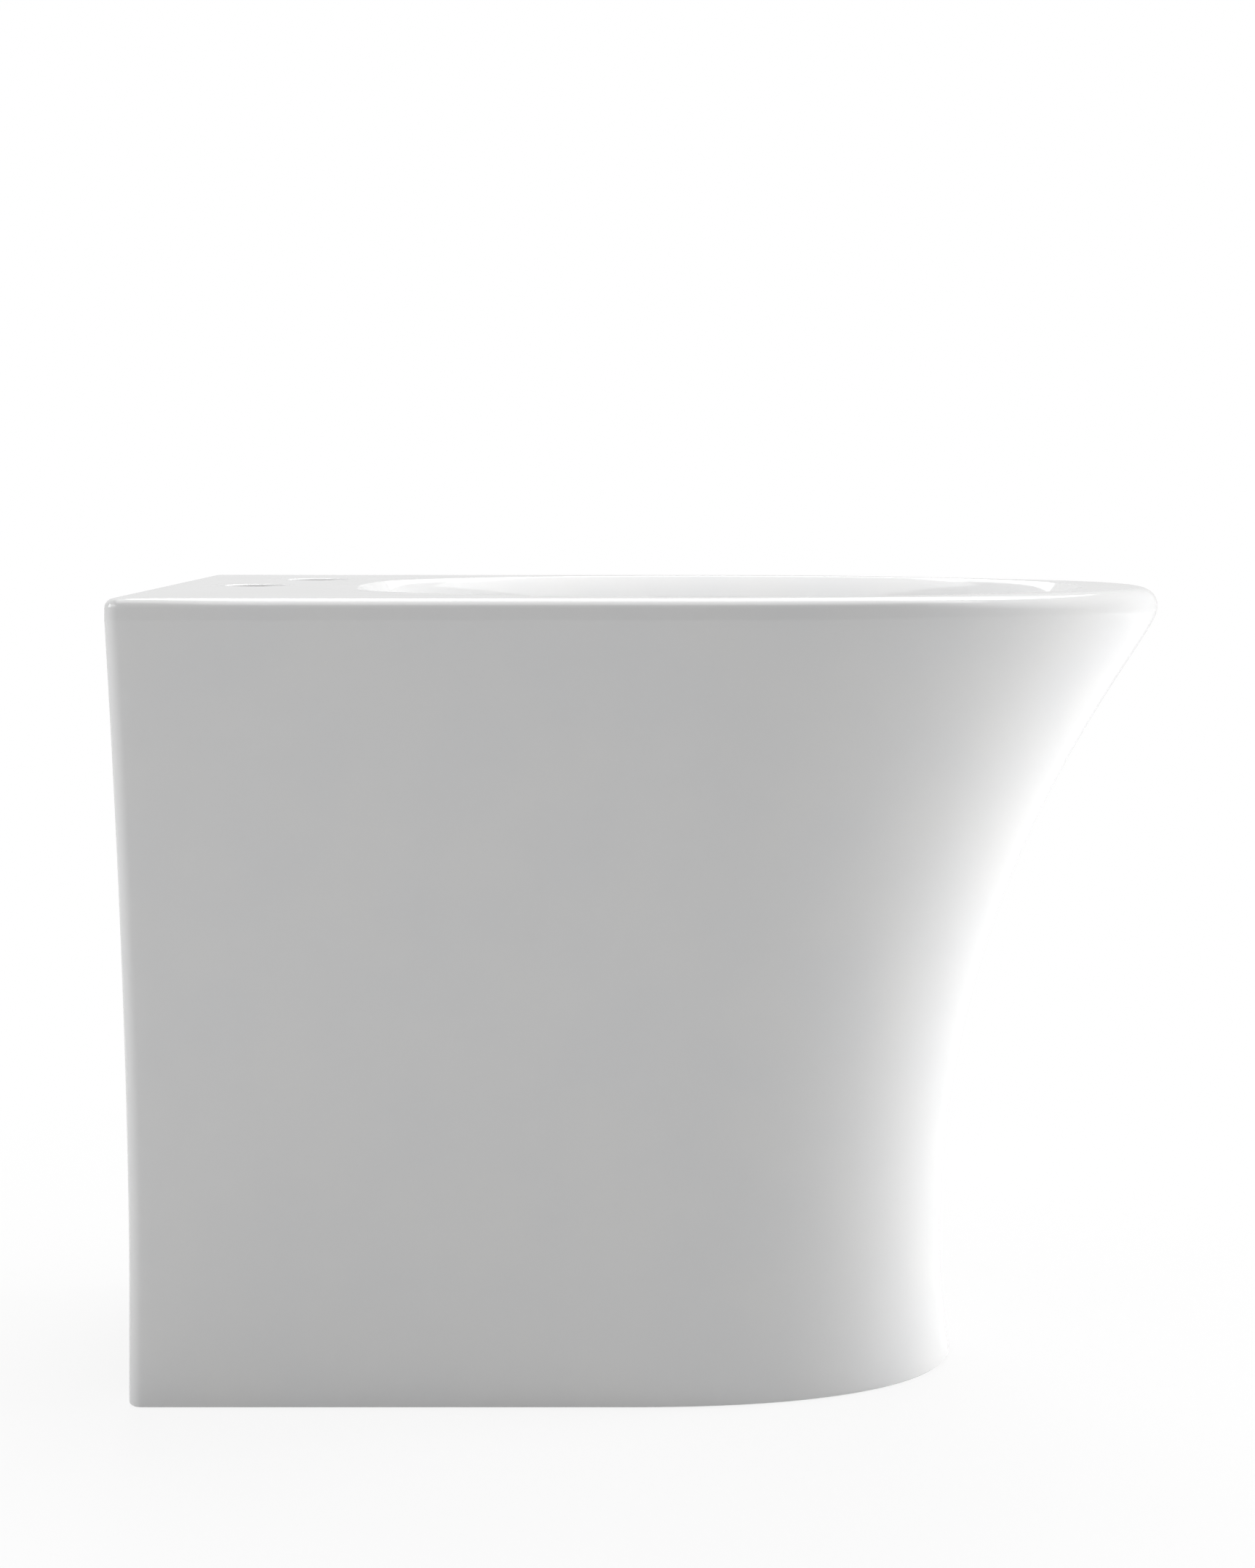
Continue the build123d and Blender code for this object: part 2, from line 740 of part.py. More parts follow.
trap_body.part.label = "trap_body"
export_step(trap_body.part, "parts/trap_body.step")

with BuildPart() as trap_cup:
    add(grip(drain.offset(cup_step_z), cup_bore, cup_bore + cup_wall, cup_seal_height + cup_overlap))
    with BuildSketch(drain.offset(cup_floor)):
        Circle(cup_bore + cup_wall)
    extrude(amount=cup_step_z - cup_floor)
    fillet(trap_cup.edges().group_by(Axis.Z)[0], radius=cup_round)
    with BuildSketch(drain.offset(cup_floor + cup_thickness)):
        Circle(trap_radius - trap_wall)
    extrude(amount=cup_pocket, mode=Mode.SUBTRACT)
trap_cup.part.label = "trap_cup"
export_step(trap_cup.part, "parts/trap_cup.step")

with BuildPart() as cup_seal:
    add(tube(drain.offset(cup_step_z), trap_radius - trap_wall, trap_radius - seat_gap, cup_seal_height))
cup_seal.part.label = "cup_seal"
export_step(cup_seal.part, "parts/cup_seal.step")

# Outlet: the nut's lip lies on the far side of the washer, and its thread opens away from the wall
outlet_lip_x = spigot_x - taper_washer - nut_lip
with BuildPart() as outlet_nut:
    add(pipe_nut(Plane(origin=(outlet_lip_x, 0, outlet_height), z_dir=(1, 0, 0)), pipe_nut_height))
outlet_nut.part.label = "outlet_nut"
export_step(outlet_nut.part, "parts/outlet_nut.step")

with BuildPart() as outlet_washer:
    add(tube(outlet_plane.offset(spigot), tube_radius + running_gap, joint_edge, taper_washer))
outlet_washer.part.label = "outlet_washer"
export_step(outlet_washer.part, "parts/outlet_washer.step")

pipe_length = waste_from_wall - spigot + pipe_insertion
with BuildPart() as outlet_pipe:
    add(tube(outlet_plane.offset(spigot - pipe_insertion), tube_bore, tube_radius, pipe_length))
outlet_pipe.part.label = "outlet_pipe"
export_step(outlet_pipe.part, "parts/outlet_pipe.step")

# Cover ring at the wall: a thin cone with a rim against the wall and a collar on the pipe
pipe_axis = Axis((0, 0, outlet_height), (1, 0, 0))
collar_r = tube_radius + running_gap
with BuildPart() as wall_rosette:
    with BuildSketch(Plane.XZ):
        with BuildLine():
            Polyline(
                (wall_x, outlet_height + rosette_radius),
                (wall_x + rosette_sheet, outlet_height + rosette_radius),
                (wall_x + rosette_rise, outlet_height + collar_r + rosette_collar),
                (wall_x + rosette_rise, outlet_height + collar_r),
                (wall_x + rosette_rise - rosette_sheet, outlet_height + collar_r),
                (wall_x, outlet_height + rosette_radius - rosette_sheet),
                close=True,
            )
        make_face()
    revolve(axis=pipe_axis)
wall_rosette.part.label = "wall_rosette"
export_step(wall_rosette.part, "parts/wall_rosette.step")

# Floor hooks: bent strips whose tongues lie over the ribs, with a rubber pad between
rib_top_z = rib_bottom + rib_height
tongue_z = rib_top_z + pad_thickness
riser_x = rib_x - seat_gap - hook_steel / 2
hook_y = rib_tip_y + hook_width / 2 + 1


def floor_hook(side):
    """One hook on its side of the body, -1 for the left and 1 for the right."""
    with BuildPart() as hook:
        with BuildSketch(Plane.XZ.offset(-side * hook_y)):
            with BuildLine():
                FilletPolyline(
                    (riser_x - hook_foot, hook_steel / 2),
                    (riser_x, hook_steel / 2),
                    (riser_x, tongue_z + hook_steel / 2),
                    (rib_x + hook_grip, tongue_z + hook_steel / 2),
                    radius=hook_bend,
                )
            trace(line_width=hook_steel)
        extrude(amount=hook_width / 2, both=True)
        with BuildSketch(Plane.XY):
            with Locations((riser_x - hook_foot / 2, side * hook_y)):
                Circle(hook_hole_radius)
        extrude(amount=hook_steel, mode=Mode.SUBTRACT)
    return hook.part


for side, name in ((-1, "floor_hook_left"), (1, "floor_hook_right")):
    with BuildPart() as hook:
        add(floor_hook(side))
    hook.part.label = name
    export_step(hook.part, f"parts/{name}.step")

pad_x = rib_x + (hook_bend + hook_grip) / 2
with BuildPart() as hook_pads:
    with BuildSketch(Plane.XY.offset(rib_top_z)):
        with Locations((pad_x, hook_y), (pad_x, -hook_y)):
            Rectangle(hook_grip - hook_bend, hook_width - 2)
    extrude(amount=pad_thickness)
hook_pads.part.label = "hook_pads"
export_step(hook_pads.part, "parts/hook_pads.step")
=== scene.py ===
# %% [markdown]
# A bidet that stands on the floor with its back against the wall, shaped like a tulip: a flat
# deck and rim above, sides that draw in to a narrow foot below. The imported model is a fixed
# frame. It says where every piece is, and this script gives the pieces their looks.

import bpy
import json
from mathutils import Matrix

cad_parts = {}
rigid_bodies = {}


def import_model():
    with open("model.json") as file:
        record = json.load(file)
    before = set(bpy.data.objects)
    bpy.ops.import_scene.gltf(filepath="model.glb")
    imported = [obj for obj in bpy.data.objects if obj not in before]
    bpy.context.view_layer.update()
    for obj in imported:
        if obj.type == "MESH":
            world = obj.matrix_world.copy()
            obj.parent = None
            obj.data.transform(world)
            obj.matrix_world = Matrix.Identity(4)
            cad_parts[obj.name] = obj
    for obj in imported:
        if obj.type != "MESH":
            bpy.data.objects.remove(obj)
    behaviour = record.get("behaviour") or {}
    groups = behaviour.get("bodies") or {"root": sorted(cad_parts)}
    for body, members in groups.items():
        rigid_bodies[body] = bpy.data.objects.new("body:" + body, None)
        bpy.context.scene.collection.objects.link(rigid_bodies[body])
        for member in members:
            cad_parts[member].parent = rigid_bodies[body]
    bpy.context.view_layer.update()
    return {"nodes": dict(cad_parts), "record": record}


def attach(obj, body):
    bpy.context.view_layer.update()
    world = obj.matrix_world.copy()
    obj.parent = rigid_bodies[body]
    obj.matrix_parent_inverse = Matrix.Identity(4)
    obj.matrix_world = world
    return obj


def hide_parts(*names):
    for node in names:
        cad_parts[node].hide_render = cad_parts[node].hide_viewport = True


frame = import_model()
print("pieces in the frame:", len(frame["nodes"]))

# %% [markdown]
# Blender works in metres and a potter in millimetres, so sizes are written in millimetres and
# turned into metres once, where a mesh is made.

# %% Units and helpers
import bmesh
import bpy
import json
from math import acos, asin, atan, atan2, copysign, cos, degrees, hypot, pi, radians, sin, sqrt, tan
from mathutils import Matrix, Vector

MM = 0.001


def smooth_step(value):
    """Goes from 0 to 1 with no corner at either end."""
    held = min(max(value, 0.0), 1.0)
    return held * held * (3 - 2 * held)


def link(mesh, name):
    """Put a mesh into the scene as an object and return it."""
    piece = bpy.data.objects.new(name, mesh)
    bpy.context.scene.collection.objects.link(piece)
    return piece


# %% [markdown]
# The outer form is a plan that changes with height. Each plan is a straight back with small
# round corners, two straight sides, and a nose that is half of a superellipse. The sides and
# the nose draw in below an upright lip, quickly at first and then slowly, which gives the
# tulip its hollow curve. The nose draws in more than the sides, and its toe comes out again a
# little where it meets the floor. A mesh cube that is sculpted would be quicker to start, but
# formulas keep both sides alike and the gloss free of dents.

# %% Outer form
body_length = 550.0
body_width = 360.0
body_height = 420.0
wall_x = -body_length / 2
front_x = body_length / 2
lip_height = 10.5
flare_height = 350.0
side_tuck = 68.0
side_flare_power = 1.6
front_tuck = 119.5
front_flare_power = 2.12
front_flare_ease = 0.022
toe_height = 55.0
toe_reach = 5.3
straight_side_at_rim = 288.0
straight_side_at_foot = 258.0
nose_power_at_rim = 2.05
nose_power_at_foot = 2.3
back_corner_radius = 8.0

# Mesh columns of half a plan: round the nose, along the side, round the corner, along the back
nose_columns = 64
side_columns = 34
corner_columns = 8
back_columns = 22


def flare(depth, power, ease):
    """Share of the tuck that is reached at a depth below the lip."""
    share = min(max(depth / flare_height, 0.0), 1.0)
    eased = (sqrt(share * share + ease * ease) - ease) / (sqrt(1 + ease * ease) - ease)
    return 1 - (1 - eased) ** power


def mirrored(half):
    """Close half a plan, from the front tip to the back's middle, into a whole loop."""
    return half + [(x, -y) for x, y in reversed(half[1:-1])]


def body_plan(z, side_inset=0.0, front_inset=0.0, back_inset=0.0):
    """Points of the body's plan at height z, from the front tip round by +Y."""
    below_lip = body_height - lip_height - z
    drawn = flare(below_lip, side_flare_power, 0.0)
    toe = max(toe_height - z, 0.0) / toe_height
    half_width = body_width / 2 - side_tuck * drawn - side_inset
    tip_x = front_x - front_tuck * flare(below_lip, front_flare_power, front_flare_ease)
    tip_x += toe_reach * toe * toe - front_inset
    straight = straight_side_at_rim + (straight_side_at_foot - straight_side_at_rim) * drawn
    start_x = wall_x + straight
    power = nose_power_at_rim + (nose_power_at_foot - nose_power_at_rim) * drawn
    back_x = wall_x + back_inset
    corner_x = back_x + back_corner_radius
    corner_y = half_width - back_corner_radius
    half = []
    for column in range(nose_columns):
        angle = pi / 2 * column / nose_columns
        ahead = (tip_x - start_x) * cos(angle) ** (2 / power)
        half.append((start_x + ahead, half_width * sin(angle) ** (2 / power)))
    for column in range(side_columns):
        half.append((start_x + (corner_x - start_x) * column / side_columns, half_width))
    for column in range(corner_columns):
        angle = pi / 2 + pi / 2 * column / corner_columns
        half.append((
            corner_x + back_corner_radius * cos(angle),
            corner_y + back_corner_radius * sin(angle),
        ))
    for column in range(back_columns + 1):
        half.append((back_x, corner_y * (1 - column / back_columns)))
    return mirrored(half)


loop_length = len(body_plan(body_height))
print("columns round the body:", loop_length)

# %% [markdown]
# The bowl is a second form inside the first. Its plan is wide at the back and pointed towards
# the front, and it shrinks to a circle round the waste. Every mesh column of the bowl looks the
# same way as the column of the outer form beside it, so the rim between them is covered by a
# fan of clean quads.

# %% Bowl form
back_rim = 110.0
side_rim = 37.0
front_rim = 56.0
bowl_widest_from_wall = 295.0
bowl_floor_z = 260.0
bowl_back_power = 2.0
bowl_front_power = 2.15
bowl_wall_power = 2.3
waste_x = wall_x + 240.0
drain_radius = 35.0
wall = 12.0
front_wall = 14.0
hollow_roof_z = 402.0
bowl_depth = body_height - bowl_floor_z
bowl_middle_x = wall_x + bowl_widest_from_wall
bowl_half_width = body_width / 2 - side_rim
bowl_back_reach = bowl_middle_x - wall_x - back_rim
bowl_front_reach = front_x - front_rim - bowl_middle_x


def look_angles():
    """For each column, the bowl's own angle that looks towards the rim's point there."""
    angles = []
    for x, y in body_plan(body_height):
        ahead = x - bowl_middle_x
        reach, power = (bowl_front_reach, bowl_front_power) if ahead > 0 else (bowl_back_reach, bowl_back_power)
        if abs(ahead) < 1e-9:
            angles.append(copysign(pi / 2, y))
            continue
        slope = abs(y / ahead) * reach / bowl_half_width
        angle = atan(slope ** (power / 2))
        angle = angle if ahead > 0 else pi - angle
        angles.append(copysign(angle, y) if y else angle)
    return angles


bowl_angles = look_angles()


def bowl_plan(sink, offset=0.0):
    """Points of the bowl's wall, from sink 0 at the rim to 1 at the waste, moved out by an offset."""
    end_share = (drain_radius + offset) / (bowl_half_width + offset)
    end_angle = acos(end_share)
    angle = end_angle * sink
    share = cos(angle)
    widening = (share - end_share) / (1 - end_share)
    middle_x = waste_x + (bowl_middle_x - waste_x) * widening
    half_width = (bowl_half_width + offset) * share
    back = half_width + (bowl_back_reach - bowl_half_width) * widening
    front = half_width + (bowl_front_reach - bowl_half_width) * widening
    depth = (bowl_depth + offset) * (sin(angle) / sin(end_angle)) ** (2 / bowl_wall_power)
    points = []
    for look in bowl_angles:
        reach, full_power = (front, bowl_front_power) if cos(look) > 0 else (back, bowl_back_power)
        power = 2 + (full_power - 2) * widening
        ahead = copysign(reach * abs(cos(look)) ** (2 / power), cos(look))
        across = copysign(half_width * abs(sin(look)) ** (2 / power), sin(look))
        points.append((middle_x + ahead, across))
    return depth, points


def sink_at(depth, offset=0.0):
    """The sink at which the bowl's wall has reached a depth."""
    end_angle = acos((drain_radius + offset) / (bowl_half_width + offset))
    share = (depth / (bowl_depth + offset)) ** (bowl_wall_power / 2)
    return asin(min(sin(end_angle) * share, 1.0)) / end_angle


def waste_circle(radius):
    """A circle round the waste with the bowl's columns."""
    return [(waste_x + radius * cos(look), radius * sin(look)) for look in bowl_angles]


print("bowl depth in millimetres:", bowl_depth)

# %% [markdown]
# The body is hollow, like every slip-cast piece: an outer wall, a bowl that hangs in it, and
# bare clay underneath. One loop of points after another is laid up the outside, over the rim,
# down the bowl, through the waste hole and back down the inside to the foot. Joined in that
# order the loops close into one watertight skin. The radius of the shoulder is larger at the
# front than at the sides and the back, as the hand of the mould maker left it.

# %% Loops of the body
shoulder_drop = 5.0
shoulder_drop_at_front = 9.5
shoulder_run_at_back = 5.0
shoulder_run = 8.0
shoulder_run_at_front = 11.0
widest_shoulder_share = 0.6
shoulder_change_x = 110.0
foot_edge = 1.5
back_crease_run = 1.5
side_crease_run = 15.0
crease_tilt = radians(38)
crease_round = 2.0
seat_radius = 33.5
seat_z = 256.0
waste_hole_radius = 23.0
boss_radius = 45.0
boss_z = 215.0
small_edge = 0.8
arc_steps = 12
crease_loops = 14
flare_loops = 46
wall_loops = 36
shell_loops = 26
hollow_loops = 30
rim_loops = 6
roof_loops = 4
level_spacing = 1.7

GLAZE, BARE = 0, 1


def grown(points, distances):
    """Move each point of a closed loop outwards by its distance."""
    moved = []
    count = len(points)
    for index, (x, y) in enumerate(points):
        before = points[index - 1]
        after = points[(index + 1) % count]
        run, rise = after[0] - before[0], after[1] - before[1]
        length = hypot(run, rise)
        moved.append((x + distances[index] * rise / length, y - distances[index] * run / length))
    return moved


def at_height(points, z):
    return [(x, y, z) for x, y in points]


def between(first, last, share):
    """A loop part of the way from one loop to another."""
    return [tuple(a + (b - a) * share for a, b in zip(p, q)) for p, q in zip(first, last)]


def crease_line():
    """The line where the rim breaks into the bowl, and how far it stands out from the wall."""
    runs = []
    for look in bowl_angles:
        share = smooth_step(max(-cos(look), 0.0) ** 12)
        runs.append(side_crease_run + (back_crease_run - side_crease_run) * share)
    return grown(bowl_plan(0.0)[1], runs), runs


def outside_loops():
    """From the foot's edge up the flare and over the shoulder."""
    loops = []
    foot = body_plan(0.0)
    for step in range(3):
        turn = pi / 2 * step / 3
        inset = foot_edge * (1 - sin(turn))
        loops.append(at_height(grown(foot, [-inset] * loop_length), foot_edge * (1 - cos(turn))))
    flare_top = body_height - lip_height
    for step in range(flare_loops):
        share = 1 - (1 - step / flare_loops) ** level_spacing
        z = foot_edge + (flare_top - 1 - foot_edge) * share
        loops.append(at_height(body_plan(z), z))
    for z in (flare_top - 1, flare_top, flare_top + 0.7):
        loops.append(at_height(body_plan(z), z))
    rim = body_plan(body_height)
    runs = []
    drops = []
    for (x, y), (inner_x, inner_y) in zip(rim, crease_line()[0]):
        from_back = smooth_step((x - wall_x - 15.0) / 60.0)
        to_front = smooth_step((x - shoulder_change_x) / (front_x - shoulder_change_x) * 1.4)
        run = shoulder_run_at_back + (shoulder_run - shoulder_run_at_back) * from_back
        run += (shoulder_run_at_front - shoulder_run) * to_front
        beside_nose = smooth_step((x - 110.0) / 80.0) * (1 - smooth_step((x - 205.0) / 60.0))
        widest = widest_shoulder_share * hypot(x - inner_x, y - inner_y)
        runs.append(run + (widest - run) * beside_nose)
        drops.append(shoulder_drop + (shoulder_drop_at_front - shoulder_drop) * to_front)
    for step in range(arc_steps + 1):
        turn = pi / 2 * step / arc_steps
        moved = grown(rim, [-run * (1 - cos(turn)) for run in runs])
        loops.append([(x, y, body_height - drop * (1 - sin(turn))) for (x, y), drop in zip(moved, drops)])
    return loops


def crease_growth(depth, run):
    """How far the wall still stands out from its plan at a depth, where a crease has a run."""
    radius = run / (1 - sin(crease_tilt))
    left = max(radius * cos(crease_tilt) - depth, 0.0)
    return radius - sqrt(radius * radius - left * left)


def bowl_loops(rim_edge):
    """From the rim's flat top over the crease of the bowl and down to the waste seat."""
    loops = []
    crease, runs = crease_line()
    lead = crease_round * tan(crease_tilt / 2)
    edge = at_height(grown(crease, [lead] * loop_length), body_height)
    for step in range(1, rim_loops):
        loops.append(between(rim_edge, edge, step / rim_loops))
    for step in range(4):
        turn = crease_tilt * step / 4
        moved = grown(crease, [lead - crease_round * sin(turn)] * loop_length)
        loops.append(at_height(moved, body_height - crease_round * (1 - cos(turn))))
    crease_depth = side_crease_run / (1 - sin(crease_tilt)) * cos(crease_tilt)
    start_depth = crease_round * (1 - cos(crease_tilt))
    for step in range(crease_loops):
        below = start_depth + (crease_depth - start_depth) * step / crease_loops
        depth, points = bowl_plan(sink_at(below))
        moved = grown(points, [crease_growth(depth, run) for run in runs])
        loops.append(at_height(moved, body_height - depth))
    first = sink_at(crease_depth)
    for step in range(wall_loops + 1):
        depth, points = bowl_plan(first + (1 - first) * step / wall_loops)
        loops.append(at_height(points, body_height - depth))
    return loops


def seat_loops():
    """Seat for the waste flange, the hole and the boss under the bowl."""
    profile = [
        (seat_radius + small_edge, bowl_floor_z - 0.3),
        (seat_radius, bowl_floor_z - small_edge),
        (seat_radius, seat_z + small_edge),
        (seat_radius - small_edge, seat_z),
        (waste_hole_radius + small_edge, seat_z),
        (waste_hole_radius, seat_z - small_edge),
        (waste_hole_radius, (seat_z + boss_z) / 2),
        (waste_hole_radius, boss_z + small_edge),
        (waste_hole_radius + small_edge, boss_z),
        (boss_radius - 2, boss_z),
        (boss_radius, boss_z + 2),
        (boss_radius, bowl_floor_z - wall - 2),
    ]
    return [at_height(waste_circle(radius), z) for radius, z in profile]


def inside_loops():
    """Outside of the bowl's shell, the roof of the hollow and the inner wall down to the foot."""
    loops = []
    top_sink = sink_at(body_height - hollow_roof_z, wall)
    for step in range(shell_loops + 1):
        depth, points = bowl_plan(1 + (top_sink - 1) * step / shell_loops, wall)
        loops.append(at_height(points, body_height - depth))
    inner_top = at_height(body_plan(hollow_roof_z, wall, front_wall, wall), hollow_roof_z)
    shell_top = loops[-1]
    for step in range(1, roof_loops):
        loops.append(between(shell_top, inner_top, step / roof_loops))
    for step in range(hollow_loops + 1):
        z = hollow_roof_z * (1 - step / hollow_loops) ** 1.3
        loops.append(at_height(body_plan(z, wall, front_wall, wall), z))
    return loops


outside = outside_loops()
bowl = bowl_loops(outside[-1])
seat = seat_loops()
inside = inside_loops()
body_loops = outside + bowl + seat + inside
glazed_loops = len(outside) + len(bowl) + 6
print("loops:", len(body_loops), "of them glazed:", glazed_loops)


# %% Mesh from the loops
def mesh_from_loops(name, loops, bare_from):
    """Join closed loops into a closed skin. Faces from the given loop on are bare clay."""
    shape = bmesh.new()
    rows = [[shape.verts.new((x * MM, y * MM, z * MM)) for x, y, z in loop] for loop in loops]
    count = len(loops[0])
    for index, row in enumerate(rows):
        above = rows[(index + 1) % len(rows)]
        for column in range(count):
            beside = (column + 1) % count
            face = shape.faces.new((row[column], row[beside], above[beside], above[column]))
            face.smooth = True
            face.material_index = GLAZE if index < bare_from else BARE
    mesh = bpy.data.meshes.new(name)
    shape.to_mesh(mesh)
    shape.free()
    return mesh


glazed_body = link(mesh_from_loops("glazed_body", body_loops, glazed_loops), "glazed_body")
print("body faces:", len(glazed_body.data.polygons))

# %% [markdown]
# Openings are cut while the clay is soft, and their edges are wiped with a wet sponge, so no
# edge is sharp. The cutters of the overflow, the deck holes and the open back are flared at their
# mouths by the radius of that wiped edge; the duct's channel is not. The Boolean modifiers do the
# cutting, in the order of the real work: first the ribs and the duct are added, then the duct's
# channel, the overflow, the deck holes and the open back are cut.

# %% Cutters
tap_hole_radius = 17.5
tap_hole_round = 1.3
tap_hole_place = (wall_x + 52.0, 0.0)
side_hole_place = (wall_x + 75.0, 95.0)
overflow_depth = 38.0
overflow_radius = 11.0
overflow_round = 1.2
duct_behind_bowl = 20.0
duct_thickness = 10.0
duct_width = 26.0
duct_wall = 9.0
duct_x = wall_x + back_rim - duct_behind_bowl
duct_knee_z = 290.0
slot_z = 228.0
opening_width = 176.0
opening_height = 310.0
opening_corner = 30.0
opening_round = 3.0
rib_from_wall = 85.0
rib_length = 60.0
rib_bottom = 20.0
rib_height = 14.0
rib_low_y = 74.0
rib_high_y = 106.0


def round_cutter(name, profile, place):
    """Solid turned from (radius, height) pairs, lowest first, with its axis at a placing matrix."""
    shape = bmesh.new()
    steps = 96
    rows = []
    for radius, height in profile:
        row = []
        for step in range(steps):
            angle = 2 * pi * step / steps
            row.append(shape.verts.new((radius * cos(angle) * MM, radius * sin(angle) * MM, height * MM)))
        rows.append(row)
    for low, high in zip(rows, rows[1:]):
        for step in range(steps):
            beside = (step + 1) % steps
            shape.faces.new((low[step], low[beside], high[beside], high[step])).smooth = True
    shape.faces.new(list(reversed(rows[0])))
    shape.faces.new(rows[-1])
    shape.transform(place)
    mesh = bpy.data.meshes.new(name)
    shape.to_mesh(mesh)
    shape.free()
    return link(mesh, name)


def prism_cutter(name, layers, material):
    """Solid through closed outlines of equally many points, given as lists of (x, y, z)."""
    shape = bmesh.new()
    rows = [[shape.verts.new((x * MM, y * MM, z * MM)) for x, y, z in layer] for layer in layers]
    count = len(layers[0])
    for low, high in zip(rows, rows[1:]):
        for step in range(count):
            beside = (step + 1) % count
            shape.faces.new((low[step], low[beside], high[beside], high[step]))
    shape.faces.new(list(reversed(rows[0])))
    shape.faces.new(rows[-1])
    bmesh.ops.recalc_face_normals(shape, faces=shape.faces)
    for face in shape.faces:
        face.smooth = True
        face.material_index = material
    mesh = bpy.data.meshes.new(name)
    shape.to_mesh(mesh)
    shape.free()
    return link(mesh, name)


def wiped_mouth(radius, edge, depth):
    """Profile of a hole whose mouth, at height 0, is rounded by an edge radius."""
    profile = [(radius, -depth)]
    for step in range(7):
        turn = pi / 2 * step / 6
        profile.append((radius + edge * (1 - cos(turn)), -edge * (1 - sin(turn))))
    return profile + [(radius + edge, 10.0)]


def duct_outline(half_thickness, top_z):
    """Side view of the duct: straight down behind the bowl, then slanting to the waste boss."""
    run, rise = waste_x - duct_x, slot_z - duct_knee_z
    turn = atan2(-rise, run)
    miter = half_thickness * tan((pi / 2 - turn) / 2)
    low_x, low_z = waste_x - half_thickness * sin(turn), slot_z - half_thickness * cos(turn)
    high_x, high_z = waste_x + half_thickness * sin(turn), slot_z + half_thickness * cos(turn)
    return [
        (duct_x - half_thickness, top_z),
        (duct_x - half_thickness, duct_knee_z - miter),
        (low_x, low_z),
        (high_x, high_z),
        (duct_x + half_thickness, duct_knee_z + miter),
        (duct_x + half_thickness, top_z),
    ]


def sideways(outline, low_y, high_y):
    return [[(x, y, z) for x, z in outline] for y in (low_y, high_y)]


def opening_outline(x, spread):
    """Outline of the open back at a distance from the wall, wider by a spread."""
    half = opening_width / 2 + spread
    radius = opening_corner + spread
    top = opening_height + spread
    points = [(x, -half, -20.0), (x, half, -20.0)]
    for step in range(13):
        turn = pi / 2 * step / 12
        points.append((x, half - radius * (1 - cos(turn)), top - radius * (1 - sin(turn))))
    for step in range(13):
        turn = pi / 2 * step / 12
        points.append((x, -half + radius * (1 - sin(turn)), top - radius * (1 - cos(turn))))
    return points


def back_wall_x(depth):
    """Where the bowl's back wall lies on the centre line at a depth."""
    return min(x for x, y in bowl_plan(sink_at(depth))[1])


overflow_slope = atan2(back_wall_x(overflow_depth + 1) - back_wall_x(overflow_depth - 1), 2)
overflow_place = (
    Matrix.Translation((back_wall_x(overflow_depth) * MM, 0, (body_height - overflow_depth) * MM))
    @ Matrix.Rotation(pi / 2 - overflow_slope, 4, "Y")
)
ribs = []
for side in (-1, 1):
    low_y, high_y = sorted((side * rib_low_y, side * rib_high_y))
    outline = [
        (wall_x + rib_from_wall, rib_bottom),
        (wall_x + rib_from_wall + rib_length, rib_bottom),
        (wall_x + rib_from_wall + rib_length, rib_bottom + rib_height),
        (wall_x + rib_from_wall, rib_bottom + rib_height),
    ]
    ribs.append(prism_cutter("rib", sideways(outline, low_y, high_y), BARE))
ridge_half = duct_thickness / 2 + duct_wall
ridge_side = duct_width / 2 + duct_wall
duct_ridge = prism_cutter("duct_ridge", sideways(duct_outline(ridge_half, 405.0), -ridge_side, ridge_side), BARE)
duct_top = body_height - overflow_depth + overflow_radius + 1
duct_channel = prism_cutter(
    "duct_channel",
    sideways(duct_outline(duct_thickness / 2, duct_top), -duct_width / 2, duct_width / 2),
    BARE,
)
overflow_cut = round_cutter(
    "overflow_cut", wiped_mouth(overflow_radius, overflow_round, duct_behind_bowl), overflow_place
)
deck_cuts = [
    round_cutter(
        "deck_cut",
        wiped_mouth(tap_hole_radius, tap_hole_round, 30.0),
        Matrix.Translation((x * MM, y * MM, body_height * MM)),
    )
    for x, y in (tap_hole_place, side_hole_place)
]
mouth_steps = [
    (wall_x - 10.0, opening_round),
    *[
        (wall_x + opening_round * sin(pi / 2 * step / 5), opening_round * (1 - sin(pi / 2 * step / 5)))
        for step in range(6)
    ],
    (wall_x + wall + 4.0, 0.0),
]
back_cut = prism_cutter("back_cut", [opening_outline(x, spread) for x, spread in mouth_steps], BARE)


# %% Cut the openings
def combine(piece, others, operation):
    """Add or cut other closed meshes, then take them out of the scene."""
    for other in others:
        step = piece.modifiers.new(operation.lower(), "BOOLEAN")
        step.solver = "EXACT"
        step.operation = operation
        step.object = other
    bpy.context.view_layer.update()
    graph = bpy.context.evaluated_depsgraph_get()
    made = bpy.data.meshes.new_from_object(piece.evaluated_get(graph))
    piece.modifiers.clear()
    piece.data = made
    for other in others:
        bpy.data.objects.remove(other)


for mesh_owner in (glazed_body, *ribs, duct_ridge, duct_channel, overflow_cut, *deck_cuts, back_cut):
    mesh_owner.data.materials.append(None)
    mesh_owner.data.materials.append(None)
combine(glazed_body, [*ribs, duct_ridge], "UNION")
combine(glazed_body, [duct_channel, overflow_cut, *deck_cuts, back_cut], "DIFFERENCE")
glazed_body.data.set_sharp_from_angle(angle=radians(38))
print("body faces with openings:", len(glazed_body.data.polygons))

